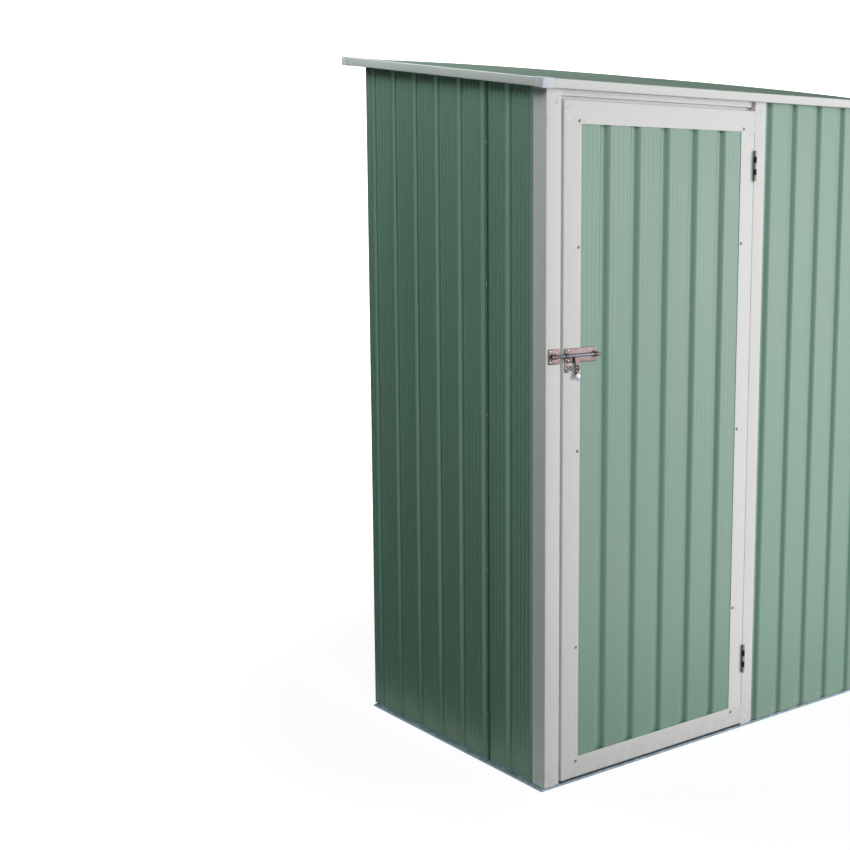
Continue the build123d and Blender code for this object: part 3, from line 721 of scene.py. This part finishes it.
def screwGrid(rings=9, around=28):
    # a low dome, h(r) = edge + (height - edge) * (1 - (r/R)^dome), with a cross recess where |x| or |y| is under the
    # slot's half-width; the last ring drops below the plate
    r = np.concatenate([np.linspace(0.02, 1, rings), [1.0]])[:, None] * screw["radius"]
    a = fullTurn(around)[None, :]
    x, y = r * np.cos(a), r * np.sin(a)
    edge = screw["edge"]
    dome = edge + (screw["height"] - edge) * (1 - (r / screw["radius"]) ** screw["dome"]) + 0 * a
    inSlot = (np.minimum(abs(x), abs(y)) < screw["slotWidth"]) & (np.maximum(abs(x), abs(y)) < screw["slotReach"])
    z = dome - np.where(inSlot, screw["recess"], 0.0)
    z[-1] = -screw["sunk"]
    return np.stack([x, y, z], -1)


def screwRings(places, outward, size=1.0, rings=9, around=28):
    # the same head at every place, turned a little more each time; outward is the direction the heads face
    head = screwGrid(rings, around) * size
    outward = np.asarray(outward, float)
    side = np.cross(outward, (0.0, 0.0, 1.0) if abs(outward[2]) < 0.9 else (0.0, 1.0, 0.0))
    side /= np.linalg.norm(side)
    up = np.cross(side, outward)
    places = np.asarray(places, float)
    spin = (np.arange(len(places)) * screw["turn"])[:, None, None]
    x = head[None, ..., 0] * np.cos(spin) - head[None, ..., 1] * np.sin(spin)
    y = head[None, ..., 0] * np.sin(spin) + head[None, ..., 1] * np.cos(spin)
    return list(places[:, None, None] + x[..., None] * side + y[..., None] * up + head[None, ..., 2, None] * outward)


ringFold = dict(end=0.9, between=0.4)


def closedPiece(name, shapes, body, material, nodes=(), sharp=35.0, loops=()):
    # every shape is a stack of closed rings with its two end rings capped; a loop also joins its last ring
    # to its first. A shape whose volume comes out negative is turned inside out
    points, quads, caps, folds, first = [], [], [], [], 0
    for n, rings in enumerate([*shapes, *loops]):
        rows, columns = rings.shape[:2]
        looped = n >= len(shapes)
        flat = rings.reshape(-1, 3)
        faces = gridFaces(rows, columns, True, looped)
        turned = signedVolume(flat - flat.mean(0), faces) < 0
        points.append(flat)
        quads.append((faces[:, ::-1] if turned else faces) + first)
        if not looped:
            ring = np.arange(columns) + first
            start, end = (ring, ring[::-1]) if turned else (ring[::-1], ring)
            caps += [start.tolist(), (end + (rows - 1) * columns).tolist()]
        ends = np.arange(rows) % max(rows - 1, 1) == 0
        folds.append(np.repeat(np.where(ends, ringFold["end"], ringFold["between"]), columns))
        first += len(flat)
    faces = np.vstack(quads).tolist() + caps
    finishPiece(name, np.vstack(points), faces, np.concatenate(folds), body, material, nodes, sharp)


screwPlaces = dict(
    doorHeights=(54.0, 352.0, 850.0, 1346.5, 1644.0), latchX=-592.0, hingeX=-27.0,
    footHeight=25.0, backHead=1780.0, besideGroove=24.0, edgeClear=30.0, backInset=56.0,
    lapInset=2.0, lapRise=1.6, lapHeights=(130.0, 520.0, 921.0, 1250.0, 1600.0),
)
sheetHead = dict(size=0.72, rings=6, around=16)
latchHead = 0.7


def buildScrews():
    # the lowest and the highest door screws sit on the rails, the others on the stiles, which lie a little deeper
    p = screwPlaces
    rails = (min(p["doorHeights"]), max(p["doorHeights"]))
    doorSpots = [(x, shed["front"] if z in rails else shed["stileFront"], z)
                 for x in (p["latchX"], p["hingeX"]) for z in p["doorHeights"]]
    closedPiece("doorScrews", screwRings(doorSpots, (0, -1, 0)), "door", screwSteel)
    # sheet screws: at the foot beside every front groove, up the lap seams, and at foot and head of the back
    pitch, low, high = sheet["pitch"], *spanOf("front_wall_sheet")
    across = np.arange(low[0] + walls["frontFirst"] - p["besideGroove"], high[0] - p["edgeClear"], pitch)
    shapes = screwRings([(x, low[1], p["footHeight"]) for x in across], (0, -1, 0), **sheetHead)
    for side, sign in (("left", -1), ("right", 1)):
        low, high = spanOf(f"{side}_wall_sheet_rear")
        face = (low[0] if sign < 0 else high[0]) + sign * p["lapRise"]
        seam = [(face, low[1] + p["lapInset"], z) for z in p["lapHeights"]]
        shapes += screwRings(seam, (sign, 0, 0), **sheetHead)
    low, high = spanOf("back_wall_sheet_left")
    across = np.arange(low[0] + p["backInset"], -low[0] - p["edgeClear"], pitch)
    spots = [(x, high[1], z) for x in across for z in (p["footHeight"], p["backHead"])]
    shapes += screwRings(spots, (0, 1, 0), **sheetHead)
    closedPiece("sheetScrews", shapes, "shed", sheetScrewSteel)
    print("screws ready")


buildScrews()


# small plates, and the lip that the door closes against
def roundedPlate(x0, x1, height, middle, back, front, corner=3.0, edge=0.5):
    # outline: four quarter circles, centre + (reach cos a, reach sin a), whose reach steps in over the front edge
    turn = np.linspace(0, np.pi / 2, 6)
    angle = np.concatenate([turn + n * np.pi / 2 for n in range(4)])
    cx = np.repeat([x1 - corner, x0 + corner, x0 + corner, x1 - corner], 6)
    cz = np.repeat([1, 1, -1, -1], 6) * (height / 2 - corner) + middle
    inset = np.array([0.0, 0.0, 0.3 * edge, edge])[:, None]
    y = np.array([back, front + edge, front + 0.3 * edge, front])[:, None]
    reach = corner - inset
    return np.stack([cx + reach * np.cos(angle), y + 0 * angle, cz + reach * np.sin(angle)], -1)


sill = dict(height=14.5, middle=12.75, back=-411.8, front=-412.6, corner=0.3, edge=0.2)


def buildSill():
    # the low lip of the base rail behind the door's foot
    lip = roundedPlate(shed["postRight"], shed["jambLeft"], **sill)
    closedPiece("sillLip", [lip], "shed", baseZinc)


buildSill()


# slide bolt: plate and straps, bar with tongue and knob, keeper and padlock eye
latch = dict(
    height=1087.0, barRadius=4.0, barY=-435.5, barFrom=-658.8, barTo=-521.0,
    plateBox=(-636.0, -532.0, 36.0), plateFront=-431.1, strapFrom=(-634.5, -542.5), strapWidth=9.0,
    keeperBox=(-684.8, -648.8, 38.0), keeperFront=-430.2, loopFrom=-673.8, loopWidth=12.0,
    strapThickness=1.2, clearance=0.6, foot=4.5, plateCorner=3.0, edge=0.5,
    tongueX=-597.5, tongueTop=10.0, tongueWaist=6.5, tongueY=-433.5, tongueThick=1.9, tongueFoot=-46.0,
    tongueBend=1.6, tongueRoot=1.0,
    earHeight=1057.0, earRadius=4.6, earWidth=1.35, earThick=1.0, earY=-438.3,
    knobHeight=1036.0, knobRadius=(7.0, 4.8, 8.6), eyeBox=(-634.2, -620.2, 22.0), eyeFront=-431.1, fixedEarX=-621.2,
    eyeCorner=2.0, eyeEdge=0.4, eyeScrewInset=4.5,
    plateScrewX=(-621.0, -557.6), plateScrewRise=12.0, keeperScrewX=-677.6, keeperScrewRise=13.0,
)


def archStrap(x0, width, front):
    # an omega band over the bar: a foot, a half circle about the bar's axis, a foot. Its section runs round
    # the band, with the outer line first and the inner line back again
    l = latch
    inner = l["barRadius"] + l["clearance"]
    turn = np.linspace(np.pi, 0, 15)
    rows = []
    for lift in (l["strapThickness"], 0.0):
        radius = inner + lift
        up = np.concatenate([[-inner - l["foot"], -radius], radius * np.cos(turn), [radius, inner + l["foot"]]])
        foot = [front - lift, front - lift]
        out = np.concatenate([foot, l["barY"] - radius * np.sin(turn), foot])
        rows.append(np.stack([out, up + l["height"]], -1))
    outer, under = rows
    ring = np.stack([outer, outer, under, under], 1)
    x = np.array([x0, x0 + width, x0 + width, x0])
    return np.concatenate([np.broadcast_to(x[None, :, None], (*ring.shape[:2], 1)), ring], -1)


def roundBar():
    # radius along the bar: a quarter-circle dome at each end, r = R sin(a) at x = R (1 - cos(a)) from the end
    l = latch
    a = np.linspace(0.08, np.pi / 2, 7)
    inward, dome = l["barRadius"] * (1 - np.cos(a)), l["barRadius"] * np.sin(a)
    x = np.concatenate([l["barFrom"] + inward, (l["barTo"] - inward)[::-1]])
    r = np.concatenate([dome, dome[::-1]])[:, None]
    turn = fullTurn(24)
    return np.stack([x[:, None] + 0 * turn, l["barY"] + r * np.cos(turn), l["height"] + r * np.sin(turn)], -1)


def tongueRings():
    # half-width eases from the top width to the waist: waist + (top - waist) (1 - s)^2.
    # Every section is a flat superellipse, |x/w|^4 + |y/t|^4 = 1, and the tongue bows out by bend * sin(pi s)
    l = latch
    s = np.linspace(0, 1, 14)[:, None]
    turn = fullTurn(24)
    half = l["tongueWaist"] + (l["tongueTop"] - l["tongueWaist"]) * (1 - s) ** 2
    cx, cy = np.cos(turn), np.sin(turn)
    x = l["tongueX"] + half * np.sign(cx) * np.sqrt(abs(cx))
    bend = -l["tongueBend"] * np.sin(np.pi * s)
    y = l["tongueY"] + bend + l["tongueThick"] / 2 * np.sign(cy) * np.sqrt(abs(cy))
    z = l["height"] + l["tongueRoot"] + s * (l["tongueFoot"] - l["tongueRoot"])
    return np.stack([x + 0 * y, y, z + 0 * turn], -1)


def knobRings():
    # a ball squeezed to three radii: x = a sin(p) cos(q), y = b sin(p) sin(q), z = c cos(p)
    l = latch
    p = np.linspace(0.08, np.pi - 0.08, 13)[:, None]
    q = fullTurn(24)[None]
    a, b, c = l["knobRadius"]
    return np.stack([l["tongueX"] + a * np.sin(p) * np.cos(q), l["earY"] + b * np.sin(p) * np.sin(q),
                     l["knobHeight"] + c * np.cos(p) + 0 * q], -1)


def earLoop(x):
    # a rounded band round a hole: ring radius + w cos(q) outwards, thickness t sin(q) along X
    l = latch
    p = fullTurn(28)[:, None]
    q = fullTurn(10)[None]
    r = l["earRadius"] + l["earWidth"] * np.cos(q)
    across = x + l["earThick"] * np.sin(q) + 0 * p
    return np.stack([across, l["earY"] + r * np.cos(p), l["earHeight"] + r * np.sin(p)], -1)


def buildLatch():
    # the plate and the eye ride on the door, the keeper on the post, and the bar, tongue and knob on the bolt
    l = latch
    middle, earMiddle, corner, edge = l["height"], l["earHeight"], l["plateCorner"], l["edge"]
    plate = [roundedPlate(*l["plateBox"], middle, shed["stileFront"], l["plateFront"], corner, edge)]
    plate += [archStrap(x, l["strapWidth"], l["plateFront"]) for x in l["strapFrom"]]
    closedPiece("boltPlate", plate, "door", latchPaintedReflectionSteel, ["bolt_plate"])
    keeper = [roundedPlate(*l["keeperBox"], middle, shed["frameFront"], l["keeperFront"], corner, edge),
              archStrap(l["loopFrom"], l["loopWidth"], l["keeperFront"])]
    closedPiece("boltKeeper", keeper, "shed", latchPaintedReflectionSteel, ["bolt_keeper"])
    closedPiece("slidingBolt", [roundBar()], "bolt", barPaintedReflectionSteel, ["sliding_bolt"])
    closedPiece("boltTongue", [tongueRings()], "bolt", latchPaintedReflectionSteel, loops=[earLoop(l["tongueX"])])
    closedPiece("boltKnob", [knobRings()], "bolt", knobSteel)
    eye = [roundedPlate(*l["eyeBox"], earMiddle, shed["stileFront"], l["eyeFront"], l["eyeCorner"], l["eyeEdge"])]
    closedPiece("padlockEye", eye, "door", latchPaintedReflectionSteel, ["padlock_eye"], loops=[earLoop(l["fixedEarX"])])
    doorSpots = [(x, l["plateFront"], middle + side * l["plateScrewRise"])
                 for x in l["plateScrewX"] for side in (1, -1)]
    doorSpots.append((l["eyeBox"][0] + l["eyeScrewInset"], l["eyeFront"], earMiddle))
    closedPiece("latchScrews", screwRings(doorSpots, (0, -1, 0), latchHead), "door", latchScrewSteel)
    postSpots = [(l["keeperScrewX"], l["keeperFront"], middle + side * l["keeperScrewRise"]) for side in (1, -1)]
    closedPiece("keeperScrews", screwRings(postSpots, (0, -1, 0), latchHead), "shed", latchScrewSteel)
    print("latch ready")


buildLatch()


# floor, light and camera
studio = dict(
    worldFill=0.035, fillColour=(0.90, 1.0, 0.95), backdropWhite=1.8,
    floorColour=(0.16, 0.16, 0.16), floorGlow=0.90, floorNear=1.0, floorFar=2.8, floorReach=40,
    lamps=dict(
        rightPanel=dict(place=(3.3, -3.9, 1.4), aim=(0.0, -0.4, 0.5), size=(2.6, 2.8), power=131.0),
        frontLeftPanel=dict(
            place=(-2.7, -3.4, 3.6), aim=(-0.5, -0.2, 0.9), size=(2.0, 1.6), power=54.0, colour=(0.95, 1.0, 0.98)),
        rearLeftPanel=dict(
            place=(-1.8, 1.7, 3.5), aim=(-0.7, -0.1, 1.0), size=(1.4, 1.4), power=56.0, colour=(0.86, 1.0, 0.96)),
        lowPanel=dict(place=(1.5, -1.9, 0.22), aim=(-0.1, -0.43, 0.10), size=(1.6, 0.36), power=2.5),
        footPanel=dict(place=(0.45, -1.35, 0.07), aim=(-0.25, -0.43, 0.05), size=(1.0, 0.12), power=1.6),
        topPanel=dict(place=(0.4, -0.4, 5.2), aim=(0.0, 0.0, 1.0), size=(3.0, 3.0), power=20.0),
    ),
    darkCard=dict(start=(-2.0, -0.2), end=(-1.0, 2.2), foot=0.02, head=2.6),
    darkCloth=dict(start=(-2.4, -0.25), end=(-0.78, 2.0), height=0.003),
    darkPaint=dict(colour=(0.02, 0.03, 0.025, 1), roughness=0.9),
    camera=dict(place=(-2.7863, -2.9953, 1.4393), tilt=81.545, heading=-38.112, lens=59.164, sensor=36.0,
                shift=(-0.1103, -0.01085)),
)


def lightPathMask(tree):
    # 1 for what is seen directly, in a reflection or through glass, and 0 for the light that falls on things
    path = addNode(tree, "ShaderNodeLightPath")
    seen = mathNode(tree, "ADD", path.outputs["Is Camera Ray"], path.outputs["Is Glossy Ray"], clamp=True)
    return mathNode(tree, "ADD", seen, path.outputs["Is Transmission Ray"], clamp=True)


def addSheet(name, corners, material, shown=True):
    # a flat quad of the studio, which is no part of the shed; one that isn't shown is out of the picture and
    # throws no shadow, but still reflects in the shed
    mesh = bpy.data.meshes.new(name)
    mesh.from_pydata(corners, [], [(0, 1, 2, 3)])
    mesh.materials.append(material)
    holder = addObject(name, mesh)
    holder.visible_camera = holder.visible_shadow = shown


def buildWorld():
    # a weak greenish fill lights the shed, and a white backdrop is what shows
    world = bpy.data.worlds.new("studioWorld")
    tree = emptyTree(world)
    fill = addNode(tree, "ShaderNodeBackground", {"Color": (*studio["fillColour"], 1), "Strength": studio["worldFill"]})
    backdrop = addNode(tree, "ShaderNodeBackground", {"Color": (1, 1, 1, 1), "Strength": studio["backdropWhite"]})
    choose = addNode(tree, "ShaderNodeMixShader", {0: lightPathMask(tree), 1: fill, 2: backdrop})
    addNode(tree, "ShaderNodeOutputWorld", {"Surface": choose})
    bpy.context.scene.world = world


def buildFloor():
    # near the shed the floor takes light and shadow; further out it turns into the plain white backdrop
    material, tree = newMaterial("studioFloor")
    where = addNode(tree, "ShaderNodeTexCoord").outputs["Object"]
    distance = addNode(tree, "ShaderNodeVectorMath", {0: where}, operation="LENGTH").outputs["Value"]
    reach = {"Value": distance, "From Min": studio["floorNear"], "From Max": studio["floorFar"]}
    far = addNode(tree, "ShaderNodeMapRange", reach, interpolation_type="SMOOTHSTEP")
    seen = lightPathMask(tree)
    matt = addNode(tree, "ShaderNodeBsdfDiffuse", {"Color": (*studio["floorColour"], 1)})
    glow = addNode(tree, "ShaderNodeEmission", {"Strength": mathNode(tree, "MULTIPLY", seen, studio["floorGlow"])})
    near = addNode(tree, "ShaderNodeAddShader", {0: matt, 1: glow})
    backdrop = addNode(tree, "ShaderNodeEmission", {"Strength": studio["backdropWhite"]})
    mask = mathNode(tree, "MULTIPLY", far, seen)
    blend = addNode(tree, "ShaderNodeMixShader", {0: mask, 1: near, 2: backdrop})
    addNode(tree, "ShaderNodeOutputMaterial", {"Surface": blend})
    r = studio["floorReach"]
    addSheet("studioFloor", [(-r, -r, 0), (r, -r, 0), (r, r, 0), (-r, r, 0)], material)


def buildDarkCards():
    # a dark card and a dark cloth off to the rear left, as a photographer sets them, keep the side wall deep in colour
    paint, tree = newMaterial("darkCard")
    addShader(tree, studio["darkPaint"]["colour"], studio["darkPaint"]["roughness"])
    card, cloth = studio["darkCard"], studio["darkCloth"]
    start, end, low, high = card["start"], card["end"], card["foot"], card["head"]
    addSheet("darkCard", [(*start, low), (*end, low), (*end, high), (*start, high)], paint, False)
    (x0, y0), (x1, y1), z = cloth["start"], cloth["end"], cloth["height"]
    addSheet("darkCloth", [(x0, y0, z), (x1, y0, z), (x1, y1, z), (x0, y1, z)], paint, False)


def addLamp(name, place, aim, size, power, colour=(1, 1, 1)):
    # a soft panel turned to face its aim: tilted by atan2(level distance, height), then turned about the upright
    lamp = bpy.data.lights.new(name, "AREA")
    lamp.shape = "RECTANGLE"
    lamp.size, lamp.size_y = size
    lamp.energy = power
    lamp.color = colour
    holder = addObject(name, lamp)
    holder.location = place
    away = np.asarray(place, float) - np.asarray(aim, float)
    level = math.hypot(away[0], away[1])
    holder.rotation_euler = (math.atan2(level, away[2]), 0, math.atan2(away[0], -away[1]))


def addCamera(place, tilt, heading, lens, sensor, shift):
    # the photo's own view
    film = bpy.data.cameras.new("photoCamera")
    film.lens, film.sensor_width = lens, sensor
    film.shift_x, film.shift_y = shift
    camera = addObject("photoCamera", film)
    camera.location = place
    camera.rotation_euler = (math.radians(tilt), 0, math.radians(heading))
    bpy.context.scene.camera = camera


bpy.context.scene.view_settings.view_transform = "Standard"
buildWorld()
buildFloor()
buildDarkCards()
for name, lamp in studio["lamps"].items():
    addLamp(name, **lamp)
addCamera(**studio["camera"])
print("studio ready")
